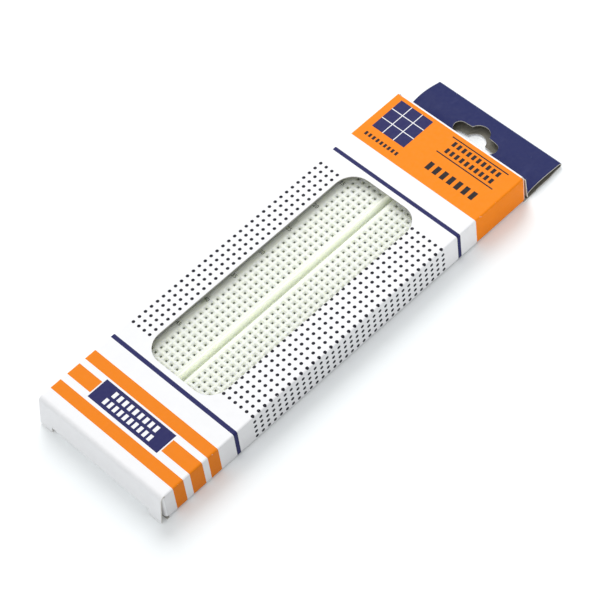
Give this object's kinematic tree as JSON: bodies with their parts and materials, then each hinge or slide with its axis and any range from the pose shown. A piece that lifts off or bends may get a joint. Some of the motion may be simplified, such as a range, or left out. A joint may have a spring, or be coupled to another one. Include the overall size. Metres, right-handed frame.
{
  "type": "solderless breadboard",
  "caption": "Solderless breadboard with power rails, sprung contact clips and a foam pad, in a folding carton with a display window and a hang tab.",
  "frame": {"origin": "centre of the carton's back panel, on its outer face", "axes": "+X across the carton to the right when the front is read with the hang tab up, +Y along it towards the hang tab, +Z out of the front panel"},
  "size_m": [0.0574, 0.1878, 0.0125],
  "materials": {
    "carton_board": "satin coated folding boxboard, printed",
    "tab_print": "satin printed boxboard",
    "housing": "fine satin moulded ABS",
    "contact_metal": "nickel-plated spring bronze",
    "foam": "closed-cell foam tape",
    "liner": "waxed release paper"
  },
  "bodies": {
    "carton_sleeve": {"carton_front_panel": "carton_board", "carton_back_panel": "carton_board", "carton_left_side": "carton_board", "carton_right_side": "carton_board", "carton_glue_flap": "carton_board"},
    "near_closure_body": {"near_closure": "carton_board"},
    "near_tuck_body": {"near_tuck_flap": "carton_board"},
    "near_dust_left_body": {"near_dust_flap_left": "carton_board"},
    "near_dust_right_body": {"near_dust_flap_right": "carton_board"},
    "hang_tab_body": {"hang_tab_lower": "tab_print", "hang_tab_upper": "tab_print"},
    "far_closure_body": {"far_closure": "carton_board"},
    "far_tuck_body": {"far_tuck_flap": "carton_board"},
    "far_dust_left_body": {"far_dust_flap_left": "carton_board"},
    "far_dust_right_body": {"far_dust_flap_right": "carton_board"},
    "breadboard": {"terminal_block": "housing", "bus_strip_left": "housing", "bus_strip_right": "housing", "terminal_clips_left": "contact_metal", "terminal_clips_right": "contact_metal", "rail_clip_left_inner": "contact_metal", "rail_clip_left_outer": "contact_metal", "rail_clip_right_inner": "contact_metal", "rail_clip_right_outer": "contact_metal", "adhesive_foam_pad": "foam", "release_liner": "liner"}
  },
  "joints": [
    {"name": "near_closure_fold", "type": "hinge", "parent": "carton_sleeve", "child": "near_closure_body", "pos_m": [0, -0.0834, 0.0123], "axis": [-1, 0, 0], "range_deg": [-9, 100]},
    {"name": "near_tuck_crease", "type": "hinge", "parent": "near_closure_body", "child": "near_tuck_body", "pos_m": [0, -0.08525, 0.00065], "axis": [-1, 0, 0], "range_deg": [-3, 31], "deforming": ["near_tuck_flap"]},
    {"name": "near_dust_left_fold", "type": "hinge", "parent": "carton_sleeve", "child": "near_dust_left_body", "pos_m": [-0.0285, -0.08295, 0.006], "axis": [0, 0, -1], "range_deg": [-4, 41]},
    {"name": "near_dust_right_fold", "type": "hinge", "parent": "carton_sleeve", "child": "near_dust_right_body", "pos_m": [0.0285, -0.08295, 0.006], "axis": [0, 0, 1], "range_deg": [-4, 41]},
    {"name": "hang_tab_fold", "type": "hinge", "parent": "carton_sleeve", "child": "hang_tab_body", "pos_m": [0, 0.0843, 0.0002], "axis": [-1, 0, 0], "range_deg": [0, 85]},
    {"name": "far_closure_fold", "type": "hinge", "parent": "hang_tab_body", "child": "far_closure_body", "pos_m": [0, 0.0843, 0.00225], "axis": [-1, 0, 0], "range_deg": [0, 76]},
    {"name": "far_tuck_crease", "type": "hinge", "parent": "far_closure_body", "child": "far_tuck_body", "pos_m": [0, 0.08369, 0.01175], "axis": [-1, 0, 0], "range_deg": [0, 23], "deforming": ["far_tuck_flap"]},
    {"name": "far_dust_left_fold", "type": "hinge", "parent": "carton_sleeve", "child": "far_dust_left_body", "pos_m": [-0.0285, 0.0831, 0.006], "axis": [0, 0, 1], "range_deg": [0, 31]},
    {"name": "far_dust_right_fold", "type": "hinge", "parent": "carton_sleeve", "child": "far_dust_right_body", "pos_m": [0.0285, 0.0831, 0.006], "axis": [0, 0, -1], "range_deg": [0, 31]},
    {"name": "board_play", "type": "slide", "parent": "carton_sleeve", "child": "breadboard", "axis": [0, 1, 0], "range_m": [-0.0003, 0.0002]}
  ],
  "couplings": [
    {"joint": "near_tuck_crease", "follows": "near_closure_fold", "ratio": 0.3},
    {"joint": "near_dust_left_fold", "follows": "near_closure_fold", "ratio": 0.4},
    {"joint": "near_dust_right_fold", "follows": "near_closure_fold", "ratio": 0.4},
    {"joint": "far_tuck_crease", "follows": "far_closure_fold", "ratio": 0.3},
    {"joint": "far_dust_left_fold", "follows": "far_closure_fold", "ratio": 0.4},
    {"joint": "far_dust_right_fold", "follows": "far_closure_fold", "ratio": 0.4}
  ]
}
